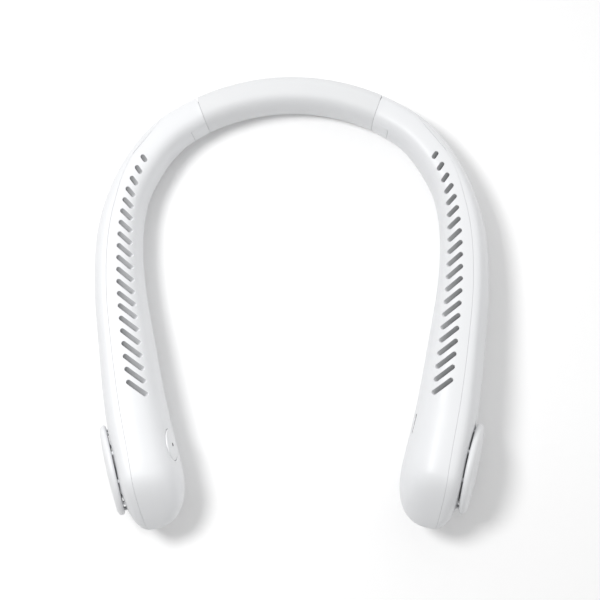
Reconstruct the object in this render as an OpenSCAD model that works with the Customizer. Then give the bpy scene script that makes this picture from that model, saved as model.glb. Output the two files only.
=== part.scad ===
// Neck fan: a hinged horseshoe with a centrifugal fan in each end, lying on its underside.
// X runs across the neck, +Y towards the back of the neck, +Z up. The origin is under the middle.

/* [Neck band] */
// Outer radius of the band's arc
band_outer_r = 105; // [104.5:0.1:105.5]
// Thickness of the band, inside to outside
band_w = 14.8; // [14.6:0.1:15]
// Height of the band
band_h = 28; // [27:0.5:30]
// Wall of the soft band
band_wall = 1.8; // [1.4:0.1:2]

/* [Arms] */
// Wall of the moulded shells
wall = 1.8; // [1.4:0.1:2]
// Width of an air slot
slot_w = 1.9; // [1.4:0.1:2.4]
// Number of air slots in each arm
slot_count = 20; // [12:1:22]
// Distance between air slots along the arm
slot_pitch = 5.85; // [5.2:0.01:6]
// Gap between the inner and the outer shell along their seam
seam_gap = 0.1; // [0.05:0.05:0.2]

/* [Fan ends] */
// Radius of the rounded fan end, which is half its height
fan_r = 26; // [25.5:0.5:27]
// Radius of the round cover over the air intake
cover_r = 20.7; // [20:0.1:21.5]
// Thickness of that cover at its middle
cover_t = 4; // [3:0.2:4.4]
// Air gap between the cover and the shell
intake_gap = 0.5; // [0.5:0.1:1.2]
// Number of intake windows under the cover
window_count = 12; // [8:1:14]

/* [Fans] */
// Outer radius of the impeller
impeller_r = 17; // [15:0.5:17]
// Number of impeller blades
blade_count = 24; // [14:1:28]
// Radius of the motor shaft
shaft_r = 1; // [0.8:0.1:1.2]
// Radial clearance of a running fit
running_fit = 0.05; // [0.02:0.01:0.1]

/* [Hinges] */
// Radius of the hinge pins
pin_r = 1; // [0.8:0.05:1.1]
// Radius of the hinge knuckles
knuckle_r = 2.2; // [1.9:0.1:2.2]
// How far an arm swings outwards, in degrees
arm_swing = 10; // [4:1:10]
// Gap between the band and an arm at the joint
joint_gap = 0.35; // [0.3:0.05:0.5]

/* [Controls] */
// Radius of the power button
button_r = 7.2; // [6:0.2:7.4]
// Travel of the power button
button_travel = 0.6; // [0.4:0.1:0.6]

/* [Hidden] */
$fn = 64;

// Half widths are measured from the seam, inwards and outwards, as seen from above.
// Each station: x, y, inner half width, outer half width, inner and outer roundness, outer lean.
// Roundness is a superellipse's exponent: 2 is an ellipse and more is squarer.
arm_stations = [
    [32.8, 91.2, 7.4, 7.4, 3.2, 3.0, 0],
    [42.4, 87.1, 7.4, 7.4, 3.2, 3.0, 0],
    [56.6, 78.2, 7.8, 7.8, 3.4, 2.8, 0.02],
    [68.1, 66.0, 9.2, 7.6, 3.5, 3.0, 0.08],
    [77.3, 50.0, 10.7, 7.2, 3.5, 3.2, 0.13],
    [81.4, 31.0, 12.0, 8.4, 3.5, 3.5, 0.16],
    [81.9, 8.0, 13.7, 8.8, 3.5, 3.7, 0.17],
    [79.4, -16.7, 15.4, 9.3, 3.4, 3.7, 0.17],
    [74.0, -50.5, 16.8, 10.6, 3.0, 3.8, 0.15],
    [67.35, -78.2, 17.3, 11.2, 2.8, 4.0, 0.14]
];
last_station = len(arm_stations) - 1;
cap_roundness = 2.5;
// The upper half of the rounded end leans back, softly from its middle height
end_rake = 0.45;
rake_ease = 4;
ring_points = 32;
hollow_points = 20;

band_centre = [0, -0.85];
band_mid_r = band_outer_r - band_w / 2;
floor_cut = 0.3;

// The hinge sits near the outer side of the joint, so that the arm opens away from the neck.
joint_angle = 20;
joint_outer = [43.0, 95.1];
pin_inset = 4.4;
pin_at = joint_outer - pin_inset * [sin(joint_angle), cos(joint_angle)];
pin_bearing = atan2(pin_at[0], pin_at[1] - band_centre[1]);
knuckle_low = 9.5;
knuckle_high = band_h - knuckle_low;
ear_t = 3;
ear_r = 1.8;
ear_gap = 0.3;

fan_turn = 13;
fan_run = 4.8;
fan_at = [
    arm_stations[last_station][0] + fan_run * sin(fan_turn),
    arm_stations[last_station][1] + fan_run * cos(fan_turn),
    fan_r - 0.3
];
cover_lean = 9.4;
outer_face = arm_stations[last_station][3];
inner_face = -arm_stations[last_station][2];

function power(c, p) = sign(c) * pow(abs(c), 2 / p);
function unit(v) = v / norm(v);

// Catmull-Rom curve through the rows of a table
function row_at(rows, k) = k < 0 ? 2 * rows[0] - rows[1]
    : k >= len(rows) ? 2 * rows[len(rows) - 1] - rows[len(rows) - 2]
    : rows[k];
function curve(rows, t) =
    let (
        k = min(max(floor(t), 0), len(rows) - 2),
        u = t - k,
        a = row_at(rows, k - 1),
        b = row_at(rows, k),
        c = row_at(rows, k + 1),
        d = row_at(rows, k + 2)
    )
    0.5 * (2 * b + (c - a) * u + (2 * a - 5 * b + 4 * c - d) * u * u + (3 * b - a - 3 * c + d) * u * u * u);

function station(t) = curve(arm_stations, t);
function spot(t) = [station(t)[0], station(t)[1]];
function heading(t) = t > last_station - 0.01
    ? [-sin(fan_turn), -cos(fan_turn)]
    : unit(spot(t + 0.01) - spot(t - 0.01));
function outwards(t) = [-heading(t)[1], heading(t)[0]];
arm_top_y = arm_stations[1][1];
arm_low_y = arm_stations[last_station][1];
// The height grows evenly along the arm and levels out over the last part before the fan's middle
levelling = 0.04;
function arm_height(y) =
    let (
        share = min(max((arm_top_y - y) / (arm_top_y - arm_low_y), 0), 1),
        late = max(share - 1 + levelling, 0)
    )
    band_h + (2 * fan_r - band_h) * (share - late * late / (2 * levelling)) / (1 - levelling / 2);

// One ring of the arm's skin, a distance t inside the outer surface
function arm_ring(at, out, wi, wo, middle, half, pin, pout, lean, low, rake = [0, 0]) = [
    for (k = [0 : (low > 0 ? hollow_points : ring_points) - 1])
        let (
            a = 360 * k / (low > 0 ? hollow_points : ring_points),
            p = cos(a) >= 0 ? pout : pin,
            rise = half * power(sin(a), p),
            reach = cos(a) >= 0 ? power(cos(a), p) * (wo - lean * rise) : power(cos(a), p) * wi,
            lift = rise > 0 ? rise * rise / (rise + rake_ease) : 0
        )
        [
            at[0] + out[0] * reach - rake[0] * lift,
            at[1] + out[1] * reach - rake[1] * lift,
            max(middle + rise, low)
        ]
];
function station_ring(t, skin) =
    let (s = station(t), h = arm_height(s[1]))
    arm_ring([s[0], s[1]], outwards(t), s[2] - skin, s[3] - skin, h / 2 - floor_cut / 2,
        h / 2 + floor_cut / 2 - skin, s[4], s[5], s[6], skin);
function cap_ring(angle, skin) =
    let (
        s = arm_stations[last_station],
        r = fan_r + floor_cut / 2 - skin,
        d = r * sin(angle),
        shrink = pow(1 - pow(sin(angle), cap_roundness), 1 / cap_roundness),
        middle = fan_r - floor_cut / 2
    )
    arm_ring([s[0], s[1]] + heading(last_station) * d, outwards(last_station),
        (s[2] - skin) * shrink, (s[3] - skin) * shrink, middle, r * cos(angle), s[4], s[5],
        s[6] * (s[3] - skin) * shrink / s[3], skin, heading(last_station) * end_rake * sin(angle));

// Skin through a list of rings, closed at both ends
module loft(rings) {
    n = len(rings[0]);
    m = len(rings);
    polyhedron(
        points = [for (ring = rings) for (p = ring) p],
        faces = concat(
            [[for (k = [0 : n - 1]) k]],
            [for (j = [0 : m - 2]) for (k = [0 : n - 1])
                [j * n + k, (j + 1) * n + k, (j + 1) * n + (k + 1) % n]],
            [for (j = [0 : m - 2]) for (k = [0 : n - 1])
                [j * n + k, (j + 1) * n + (k + 1) % n, j * n + (k + 1) % n]],
            [[for (k = [0 : n - 1]) (m - 1) * n + n - 1 - k]]
        )
    );
}

arm_steps = 28;
hollow_steps = 14;
cap_angles = [12, 24, 36, 47, 57, 66, 74, 81, 86, 89];
module arm_body() {
    loft(concat(
        [for (k = [0 : arm_steps]) station_ring(last_station * k / arm_steps, 0)],
        [for (a = cap_angles) cap_ring(a, 0)]
    ));
}
module arm_hollow(skin = wall) {
    loft(concat(
        [for (k = [0 : hollow_steps]) station_ring(last_station * k / hollow_steps, skin)],
        [for (a = [15 : 15 : 75]) cap_ring(a, skin)],
        [cap_ring(86, skin)]
    ));
}

// Frame of the right hinge: X runs along the arm, Y points out of the horseshoe
module at_hinge() {
    translate([pin_at[0], pin_at[1], 0]) rotate([0, 0, -joint_angle]) children();
}
// Frame of the right fan: Z is the fan's axis and points outwards, X points down
module at_fan() {
    translate(fan_at) rotate([0, 0, -fan_turn]) rotate([0, 90, 0]) children();
}

// All that lies on the arm's side of the joint, with room for the arm's outer corner to swing
module arm_side_of_joint() {
    reach = 260;
    at_hinge() translate([0, 0, -5]) linear_extrude(height = 2 * fan_r + 10)
        polygon([
            [joint_gap, 0],
            [joint_gap + 12 * tan(arm_swing + 1), 12],
            [joint_gap + 12 * tan(arm_swing + 1), reach],
            [reach, reach],
            [reach, -reach],
            [joint_gap, -reach]
        ]);
}

// Plan of all that lies outside the seam
seam_start = 1.7;
seam_steps = 26;
seam_end_offset = 1.05;
seam_end_slope = 0.0737;
module outside_seam(shift) {
    far = 60;
    seam = [for (k = [0 : seam_steps])
        let (
            t = seam_start + (last_station - seam_start) * k / seam_steps,
            ease = max(0, 1 - (t - seam_start) / 0.6),
            fade = min(max((4.4 - t) / 1.8, 0), 1),
            late = max(t - last_station + 1, 0)
        )
        spot(t) + outwards(t) * (shift + 5.5 * ease * ease + 4 * fade * fade * (3 - 2 * fade)
            + seam_end_offset * late * late)
    ];
    tip = seam[seam_steps] + (heading(last_station) + outwards(last_station) * seam_end_slope) * far;
    translate([0, 0, -5]) linear_extrude(height = 2 * fan_r + 10)
        polygon(concat(seam, [
            tip,
            tip + outwards(last_station) * far,
            seam[0] + [far, -far / 2],
            seam[0] + [far, 0]
        ]));
}

// Air slots: their length, slant and place follow smooth rules from the neck to the fan
slot_start = 44.2;
slot_first_length = 3.8;
slot_last_length = 11;
slot_first_inset = 2.3;
slot_last_inset = 8.75;
slot_slant = 44.5;
slot_extra_slant = 27;
path_steps = 120;
path_points = [for (k = [0 : path_steps]) spot(last_station * k / path_steps)];
function run(points, k) = k == 0 ? 0 : run(points, k - 1) + norm(points[k] - points[k - 1]);
path_table = [for (k = [0 : path_steps]) [run(path_points, k), last_station * k / path_steps]];
module air_slots() {
    for (k = [0 : slot_count - 1]) {
        u = k / (slot_count - 1);
        t = lookup(slot_start + slot_pitch * k, path_table);
        inset = slot_last_inset - (slot_last_inset - slot_first_inset) * pow(1 - u, 3.5);
        half = (slot_first_length + (slot_last_length - slot_first_length) * sin(90 * u) - slot_w) / 2;
        slant = slot_slant + slot_extra_slant * pow(1 - u, 2.5);
        turn = atan2(heading(t)[1], heading(t)[0]) - slant;
        at = spot(t) - outwards(t) * inset;
        h = arm_height(at[1]);
        translate([at[0], at[1], h - 8]) rotate([0, 0, turn]) hull() {
            translate([-half, 0, 0]) cylinder(r = slot_w / 2, h = 12, $fn = 12);
            translate([half, 0, 0]) cylinder(r = slot_w / 2, h = 12, $fn = 12);
        }
    }
}

// The panel over the hinge, on the side that faces the neck
panel_length = 8.2;
panel_low = 4.5;
panel_high = band_h - 4;
panel_depth = 5.4;
module hinge_panel(clearance) {
    at_hinge() translate([joint_gap - 1, -20, panel_low - clearance]) cube([
        panel_length + 1 + clearance,
        20 - panel_depth + clearance,
        panel_high - panel_low + 2 * clearance
    ]);
}

// The motor stands on three legs, placed clear of the button and of the boards
motor_screw_r = 11.5;
motor_screw_tip = -16;
module motor_screw_places() {
    for (a = [0, 80, 250]) rotate([0, 0, a]) translate([motor_screw_r, 0, 0]) children();
}

module inner_shell() {
    difference() {
        intersection() {
            difference() {
                arm_body();
                arm_hollow();
            }
            arm_side_of_joint();
        }
        outside_seam(-seam_gap / 2);
        air_slots();
        hinge_panel(0.1);
        at_fan() motor_screw_places() translate([0, 0, motor_screw_tip - 0.2])
            cylinder(r = 0.85, h = 6, $fn = 16);
    }
}

module outer_shell() {
    intersection() {
        difference() {
            arm_body();
            arm_hollow();
            at_fan() {
                for (k = [0 : window_count - 1]) rotate([0, 0, (k + 0.5) * 360 / window_count]) hull() {
                    translate([6.5, 0, 3]) cylinder(r = 0.9, h = 14, $fn = 16);
                    translate([13.9, 0, 3]) cylinder(r = 2, h = 14, $fn = 16);
                }
            }
            at_cover() cover_posts(cover_post_r + 0.1, cover_post_reach + 0.3);
        }
        arm_side_of_joint();
        outside_seam(seam_gap / 2);
    }
}

// Frame of the intake cover: Z points out through its middle, and the cover leans in at the top
cover_forward = 0.8;
module at_cover() {
    at_fan() translate([0, -cover_forward, outer_face + intake_gap]) rotate([0, -cover_lean, 0]) children();
}
cover_post_r = 0.9;
cover_post_ring = 18.2;
cover_post_reach = 3;
cover_post_count = 9;
cover_post_start = 156;
module cover_posts(r, reach) {
    for (k = [0 : cover_post_count - 1]) rotate([0, 0, cover_post_start + 360 / cover_post_count * k])
        translate([cover_post_ring, 0, -reach]) cylinder(r = r, h = reach + 0.5, $fn = 24);
}
module intake_cover() {
    rim_r = 1.2;
    dome = 1;
    color("whitesmoke") at_cover() {
        rotate_extrude() {
            difference() {
                union() {
                    square([cover_r - rim_r, cover_t - dome]);
                    translate([cover_r - rim_r, rim_r]) circle(r = rim_r, $fn = 32);
                    translate([0, cover_t - dome - 0.01]) intersection() {
                        translate([0, dome - cover_r * cover_r / (2 * dome)])
                            circle(r = cover_r * cover_r / (2 * dome), $fn = 720);
                        square([cover_r - rim_r, dome + 0.02]);
                    }
                }
                translate([-1, -1]) square([0.99, cover_t + 2]);
            }
        }
        cover_posts(cover_post_r, cover_post_reach);
    }
}

// Where the wall towards the neck crosses a plane across the hinge's X
function hinge_x(p) = let (d = p - pin_at) d[0] * cos(joint_angle) - d[1] * sin(joint_angle);
function neck_side(t, skin) = spot(t) - outwards(t) * (station(t)[2] - skin);
function neck_side_table(skin) = [for (k = [0 : 30]) let (t = k / 10) [hinge_x(neck_side(t, skin)), t]];
panel_table = neck_side_table(0);
panel_back_table = neck_side_table(wall);
function panel_ring(x) =
    let (
        zs = [for (k = [0 : 8]) panel_low + (panel_high - panel_low) * k / 8],
        face = lookup(x, panel_table),
        back = lookup(x, panel_back_table)
    )
    concat(
        [for (z = zs) panel_point(face, z, 0)],
        [for (k = [8 : -1 : 0]) panel_point(back, zs[k], wall)]
    );
function panel_point(t, z, skin) =
    let (
        s = station(t),
        h = arm_height(s[1]),
        rise = abs(z - (h - floor_cut) / 2) / ((h + floor_cut) / 2 - skin),
        at = spot(t) - outwards(t) * (s[2] - skin) * pow(1 - pow(min(rise, 1), s[4]), 1 / s[4])
    )
    [at[0], at[1], z];
module hinge_cover() {
    color("whitesmoke") loft([for (k = [0 : 6]) panel_ring(joint_gap + (panel_length - joint_gap) * k / 6)]);
}

// The bracket in the arm: two ears either side of the band's knuckle, and a block behind them
block_from = knuckle_r + 0.5;
module hinge_bracket() {
    color("dimgray") at_hinge() difference() {
        union() {
            translate([block_from, -6.2, knuckle_low - ear_t - ear_gap])
                cube([4.6, 7, knuckle_high - knuckle_low + 2 * (ear_t + ear_gap)]);
            for (z = [knuckle_low - ear_t - ear_gap, knuckle_high + ear_gap]) translate([0, 0, z]) {
                cylinder(r = ear_r, h = ear_t);
                translate([0, -ear_r, 0]) cube([block_from + 0.1, 2 * ear_r - 0.7, ear_t]);
            }
        }
        translate([0, 0, -1]) cylinder(r = pin_r, h = band_h);
        hinge_screw_places() translate([0, 0, -6]) cylinder(r = 0.8, h = 11.5);
    }
}
module hinge_screw_places() {
    for (z = [10.5, band_h - 10.5]) translate([block_from + 2.3, -6.2, z]) rotate([-90, 0, 0]) children();
}
module hinge_screws() {
    color("silver") at_hinge() hinge_screw_places() {
        translate([0, 0, -1]) cylinder(r = 1.5, h = 1);
        translate([0, 0, -0.5]) cylinder(r = 0.8, h = 6);
    }
}
module hinge_pin() {
    color("silver") at_hinge() translate([0, 0, knuckle_low - ear_t - ear_gap])
        cylinder(r = pin_r, h = knuckle_high - knuckle_low + 2 * (ear_t + ear_gap));
}

// The plug in each end of the band, which carries the knuckle
collar_gap = 0.2;
module band_end() {
    collar_from = pin_bearing - 10.5;
    collar_to = pin_bearing - 4;
    color("dimgray") difference() {
        union() {
            translate([band_centre[0], band_centre[1], 0]) rotate([0, 0, 90 - collar_to])
                rotate_extrude(angle = collar_to - collar_from) polygon(band_section(band_wall + collar_gap));
            at_hinge() {
                translate([-6.5, -6.4, knuckle_low]) cube([5.9, 8.6, knuckle_high - knuckle_low]);
                translate([-2, -knuckle_r, knuckle_low])
                    cube([2, 2 * knuckle_r - 1, knuckle_high - knuckle_low]);
                translate([0, 0, knuckle_low]) cylinder(r = knuckle_r, h = knuckle_high - knuckle_low);
            }
        }
        at_hinge() translate([0, 0, knuckle_low - 1])
            cylinder(r = pin_r + running_fit, h = knuckle_high - knuckle_low + 2);
        band_arc(band_mid_r, pin_bearing - 20, pin_bearing - 3, cable_z, cable_r + 0.2);
        band_arc_strip(0.15);
    }
}

// A round rod along the band
cable_r = 1.3;
cable_z = 8;
module band_arc(r, from, to, z, rod_r) {
    translate([band_centre[0], band_centre[1], z]) rotate([0, 0, 90 - to])
        rotate_extrude(angle = to - from) translate([r, 0]) circle(r = rod_r, $fn = 24);
}
// The flat spring along the band
spring_t = 0.8;
spring_h = 6;
spring_z = 20;
spring_end = pin_bearing - 5;
module band_arc_strip(clearance) {
    translate([band_centre[0], band_centre[1], spring_z - spring_h / 2 - clearance])
        rotate([0, 0, 90 - spring_end]) rotate_extrude(angle = 2 * spring_end)
            translate([band_mid_r - spring_t / 2 - clearance, 0])
                square([spring_t + 2 * clearance, spring_h + 2 * clearance]);
}
module band_spring() {
    color("silver") band_arc_strip(0);
}
module band_cable() {
    color("dimgray") band_arc(band_mid_r, 5 - pin_bearing, pin_bearing - 5, cable_z, cable_r);
}

// Half of the band's cross-section ring, flat where it rests
function band_section(skin) = [
    for (k = [0 : ring_points * 2 - 1])
        let (a = 180 * k / ring_points)
        [band_mid_r + (band_w / 2 - skin) * power(cos(a), 3.1),
            max((band_h - floor_cut) / 2 + ((band_h + floor_cut) / 2 - skin) * power(sin(a), 3.1), skin)]
];
module neck_band() {
    sweep = pin_bearing + 4;
    color("gainsboro") difference() {
        translate([band_centre[0], band_centre[1], 0]) rotate([0, 0, 90 - sweep])
            rotate_extrude(angle = 2 * sweep, $fn = 128) difference() {
                polygon(band_section(0));
                polygon(band_section(band_wall));
            }
        for (s = [0, 1]) mirror([s, 0, 0]) at_hinge() translate([0, -30, -1]) cube([30, 60, band_h + 2]);
    }
}

// The plate between the air duct above and the battery bay below
guide_z = 21;
guide_t = 1.2;
guide_inset = 3.2;
module air_guide() {
    from = 3.2;
    to = 7.6;
    steps = 16;
    ts = [for (k = [0 : steps]) from + (to - from) * k / steps];
    color("lightgray") translate([0, 0, guide_z]) linear_extrude(height = guide_t)
        polygon(concat(
            [for (t = ts) spot(t) + outwards(t) * (station(t)[3] - guide_inset)],
            [for (k = [steps : -1 : 0]) spot(ts[k]) - outwards(ts[k]) * (station(ts[k])[2] - guide_inset)]
        ));
}

battery_size = [10, 46, 13];
battery_at = [77.6, -1, 5.5];
battery_turn = -3.5;
module battery() {
    color("royalblue") translate(battery_at) rotate([0, 0, battery_turn]) difference() {
        translate([-battery_size[0] / 2, -battery_size[1] / 2, 0]) cube(battery_size);
        for (x = [-1, 1], z = [0, 1]) translate([x * battery_size[0] / 2, 0, z * battery_size[2]])
            rotate([0, 45, 0]) cube([1.2, battery_size[1] + 1, 1.2], center = true);
    }
}

// Heights inside the fan, along its axis from the seam
base_z = -10.4;
base_t = 1.3;
leg_z = -14;
board_z = base_z + base_t + 0.1;
board_t = 0.8;
stator_z = board_z + board_t + 0.3;
stator_t = 4.6;
hub_z = board_z + board_t + 1.4;
hub_top = stator_z + stator_t + 2.6;
hub_t = 1.4;
blade_top = 4.6;
tube_r = 2.6;
bearing_r = 1.9;

// A spiral wall around the impeller, open towards the arm
scroll_low = -7.5;
scroll_high = 5.5;
scroll_gap = 1;
scroll_wall = 0.8;
scroll_growth = 1.2;
module fan_scroll() {
    from = 215;
    steps = 20;
    sweep = 250;
    function reach(k) = impeller_r + scroll_gap + scroll_growth * k / steps;
    function along(k) = [cos(from + sweep * k / steps), sin(from + sweep * k / steps)];
    inner = [for (k = [0 : steps]) reach(k) * along(k)];
    outer = [for (k = [steps : -1 : 0]) (reach(k) + scroll_wall) * along(k)];
    color("whitesmoke") at_fan() translate([0, 0, scroll_low])
        linear_extrude(height = scroll_high - scroll_low) polygon(concat(inner, outer));
}
module motor_base() {
    color("dimgray") at_fan() difference() {
        union() {
            translate([0, 0, base_z]) cylinder(r = motor_screw_r + 2.5, h = base_t);
            motor_screw_places() translate([0, 0, leg_z]) cylinder(r = 2, h = base_z - leg_z + 0.1);
            translate([0, 0, base_z]) cylinder(r = tube_r, h = stator_z + stator_t - base_z);
        }
        translate([0, 0, base_z + 1]) cylinder(r = bearing_r, h = 30);
        motor_screw_places() translate([0, 0, leg_z - 1]) cylinder(r = 0.85, h = 8);
    }
}
module motor_screws() {
    color("silver") at_fan() motor_screw_places() {
        translate([0, 0, base_z + base_t]) cylinder(r = 1.5, h = 0.8);
        translate([0, 0, motor_screw_tip]) cylinder(r = 0.8, h = base_z + base_t - motor_screw_tip);
    }
}
module motor_board() {
    color("darkgreen") at_fan() translate([0, 0, board_z]) difference() {
        cylinder(r = 7.6, h = board_t);
        translate([0, 0, -1]) cylinder(r = tube_r + 0.1, h = 4);
    }
}
module motor_stator() {
    poles = 9;
    color("chocolate") at_fan() translate([0, 0, stator_z]) difference() {
        union() {
            cylinder(r = tube_r + 1.5, h = stator_t);
            for (k = [0 : poles - 1]) rotate([0, 0, 360 * k / poles]) {
                translate([tube_r + 1, -0.9, 0.6]) cube([5.2 - tube_r, 1.8, stator_t - 1.2]);
                translate([6, -1.7, 0.3]) cube([1.3, 3.4, stator_t - 0.6]);
            }
        }
        translate([0, 0, -1]) cylinder(r = tube_r, h = stator_t + 2);
    }
}
module motor_bearing() {
    color("goldenrod") at_fan() translate([0, 0, base_z + 1]) difference() {
        cylinder(r = bearing_r, h = stator_z + stator_t - base_z - 1.1);
        translate([0, 0, -1]) cylinder(r = shaft_r + running_fit, h = 20);
    }
}
module motor_shaft() {
    color("silver") at_fan() translate([0, 0, base_z + 1.2])
        cylinder(r = shaft_r, h = hub_top - base_z - 1.2);
}
magnet_r = 9.6;
hub_r = 10.8;
module rotor_magnet() {
    color("dimgray") at_fan() translate([0, 0, hub_z + 0.4]) difference() {
        cylinder(r = magnet_r, h = hub_top - hub_t - hub_z - 0.5);
        translate([0, 0, -1]) cylinder(r = magnet_r - 1.5, h = 8);
    }
}
module impeller() {
    blade_r = 13;
    plate_t = 0.9;
    color("white") at_fan() {
        difference() {
            union() {
                translate([0, 0, hub_z]) cylinder(r = hub_r, h = hub_top - hub_z);
                translate([0, 0, hub_z]) cylinder(r = impeller_r, h = plate_t);
            }
            translate([0, 0, hub_z - 1]) cylinder(r = magnet_r, h = hub_top - hub_t - hub_z + 1);
            translate([0, 0, hub_z]) cylinder(r = shaft_r, h = 30);
        }
        difference() {
            translate([0, 0, hub_top - hub_t - 1.1]) cylinder(r = 2.2, h = 1.4);
            translate([0, 0, hub_top - 5]) cylinder(r = shaft_r, h = 8);
        }
        for (k = [0 : blade_count - 1]) rotate([0, 0, 360 * k / blade_count])
            translate([blade_r, 0, hub_z + plate_t / 2]) rotate([0, 0, -35])
                translate([0, -0.35, 0]) cube([4.2, 0.7, blade_top - hub_z - plate_t / 2]);
        translate([0, 0, blade_top - 0.1]) difference() {
            cylinder(r = impeller_r, h = 1);
            translate([0, 0, -1]) cylinder(r = impeller_r - 2.2, h = 3);
        }
    }
}

// The controls sit behind the fan, on the face towards the neck.
// Heights of these parts are measured along the fan's axis from the seam.
button_run = 4.2;
button_up = 8.3;
button_tilt = 6;
button_face = -17.06;
button_proud = 0.25;
button_dome_r = 52;
flange_z = -14;
flange_t = 0.5;
flange_r = button_r + 0.5;
button_clearance = 0.3;
switch_h = 0.8;
control_z = flange_z + flange_t + button_travel + 0.1 + switch_h;
board_size = 14;
controls_t = 0.8;
port_run = 13.2;
port_up = 6;
port_w = 3.2;
port_length = 9;
port_face = -16.85;
port_recess = 0.3;
charge_z = -12;

// The button leans with the shell around it
module at_button() {
    at_fan() translate([-button_up, button_run, button_face]) rotate([0, button_tilt, 0])
        translate([0, 0, -button_face]) children();
}
module at_port() {
    at_fan() translate([-port_up, port_run, 0]) children();
}
module power_button() {
    color("whitesmoke") at_button() {
        intersection() {
            translate([0, 0, button_face - button_proud - 1])
                cylinder(r = button_r, h = flange_z - button_face + button_proud + 1.1);
            translate([0, 0, button_face - button_proud + button_dome_r]) sphere(r = button_dome_r);
        }
        translate([0, 0, flange_z]) cylinder(r = flange_r, h = flange_t);
    }
}
module button_switch() {
    color("dimgray") at_button() {
        translate([-2, -2, control_z - switch_h + 0.3]) cube([4, 4, switch_h - 0.3]);
        translate([0, 0, control_z - switch_h]) cylinder(r = 1, h = 0.5);
    }
}
module control_board() {
    color("darkgreen") at_button() translate([-board_size / 2, -board_size / 2, control_z])
        cube([board_size, board_size, controls_t]);
}
module charge_board() {
    color("darkgreen") at_port() translate([-6.4, -5.4, charge_z]) cube([12, 12, controls_t]);
}
// The socket's open mouth is almost flush with the shell
module usb_c_socket() {
    socket_wall = 0.3;
    back = 0.5;
    tongue = [0.7, 6.4, 3.6];
    color("silver") at_port() difference() {
        translate([-port_w / 2, -port_length / 2, port_face + port_recess])
            cube([port_w, port_length, charge_z - port_face - port_recess]);
        translate([socket_wall - port_w / 2, socket_wall - port_length / 2, port_face - 1])
            cube([port_w - 2 * socket_wall, port_length - 2 * socket_wall, charge_z - port_face - back + 1]);
    }
    color("dimgray") at_port() translate([-tongue[0] / 2, -tongue[1] / 2, charge_z - back - tongue[2] + 0.1])
        cube(tongue);
}
// The hole for the button, with a seat behind it for the flange
module button_hole() {
    seat_gap = 0.25;
    at_button() {
        translate([0, 0, button_face - 3]) cylinder(r = button_r + button_clearance, h = 6);
        translate([0, 0, flange_z - seat_gap]) cylinder(r = flange_r + seat_gap, h = 3);
    }
}
module port_hole() {
    slack = 0.15;
    at_port() translate([-port_w / 2 - slack, -port_length / 2 - slack, port_face - 3])
        cube([port_w + 2 * slack, port_length + 2 * slack, 6]);
}

module left() {
    mirror([1, 0, 0]) children();
}

module right_inner_shell() {
    color("whitesmoke") difference() {
        inner_shell();
        port_hole();
    }
}
module left_inner_shell() {
    color("whitesmoke") left() difference() {
        inner_shell();
        button_hole();
    }
}
module right_outer_shell() {
    color("whitesmoke") outer_shell();
}
module left_outer_shell() {
    color("whitesmoke") left() outer_shell();
}
module right_band_end() {
    band_end();
}
module left_band_end() {
    left() band_end();
}
module right_hinge_pin() {
    hinge_pin();
}
module left_hinge_pin() {
    left() hinge_pin();
}
module right_hinge_bracket() {
    hinge_bracket();
}
module left_hinge_bracket() {
    left() hinge_bracket();
}
module right_hinge_screws() {
    hinge_screws();
}
module left_hinge_screws() {
    left() hinge_screws();
}
module right_hinge_cover() {
    hinge_cover();
}
module left_hinge_cover() {
    left() hinge_cover();
}
module right_intake_cover() {
    intake_cover();
}
module left_intake_cover() {
    left() intake_cover();
}
module right_air_guide() {
    air_guide();
}
module left_air_guide() {
    left() air_guide();
}
module right_battery() {
    battery();
}
module left_battery() {
    left() battery();
}
module right_fan_scroll() {
    fan_scroll();
}
module left_fan_scroll() {
    left() fan_scroll();
}
module right_motor_base() {
    motor_base();
}
module left_motor_base() {
    left() motor_base();
}
module right_motor_screws() {
    motor_screws();
}
module left_motor_screws() {
    left() motor_screws();
}
module right_motor_board() {
    motor_board();
}
module left_motor_board() {
    left() motor_board();
}
module right_motor_stator() {
    motor_stator();
}
module left_motor_stator() {
    left() motor_stator();
}
module right_motor_bearing() {
    motor_bearing();
}
module left_motor_bearing() {
    left() motor_bearing();
}
module right_motor_shaft() {
    motor_shaft();
}
module left_motor_shaft() {
    left() motor_shaft();
}
module right_rotor_magnet() {
    rotor_magnet();
}
module left_rotor_magnet() {
    left() rotor_magnet();
}
module right_impeller() {
    impeller();
}
module left_impeller() {
    left() impeller();
}

neck_band();
band_spring();
band_cable();
right_band_end();
right_hinge_pin();
right_hinge_bracket();
right_hinge_screws();
right_hinge_cover();
right_inner_shell();
right_outer_shell();
right_intake_cover();
right_air_guide();
right_battery();
right_fan_scroll();
right_motor_base();
right_motor_screws();
right_motor_board();
right_motor_stator();
right_motor_bearing();
right_motor_shaft();
right_rotor_magnet();
right_impeller();
charge_board();
usb_c_socket();
left_band_end();
left_hinge_pin();
left_hinge_bracket();
left_hinge_screws();
left_hinge_cover();
left_inner_shell();
left_outer_shell();
left_intake_cover();
left_air_guide();
left_battery();
left_fan_scroll();
left_motor_base();
left_motor_screws();
left_motor_board();
left_motor_stator();
left_motor_bearing();
left_motor_shaft();
left_rotor_magnet();
left_impeller();
left() control_board();
left() power_button();
left() button_switch();
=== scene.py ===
# Neck fan: casings, band, covers and controls shaped round the CAD parts, with finishes, floor and lights
import math

import bpy
import numpy as np
from mathutils import Euler, Matrix, Vector
from mathutils.geometry import delaunay_2d_cdt


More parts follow.
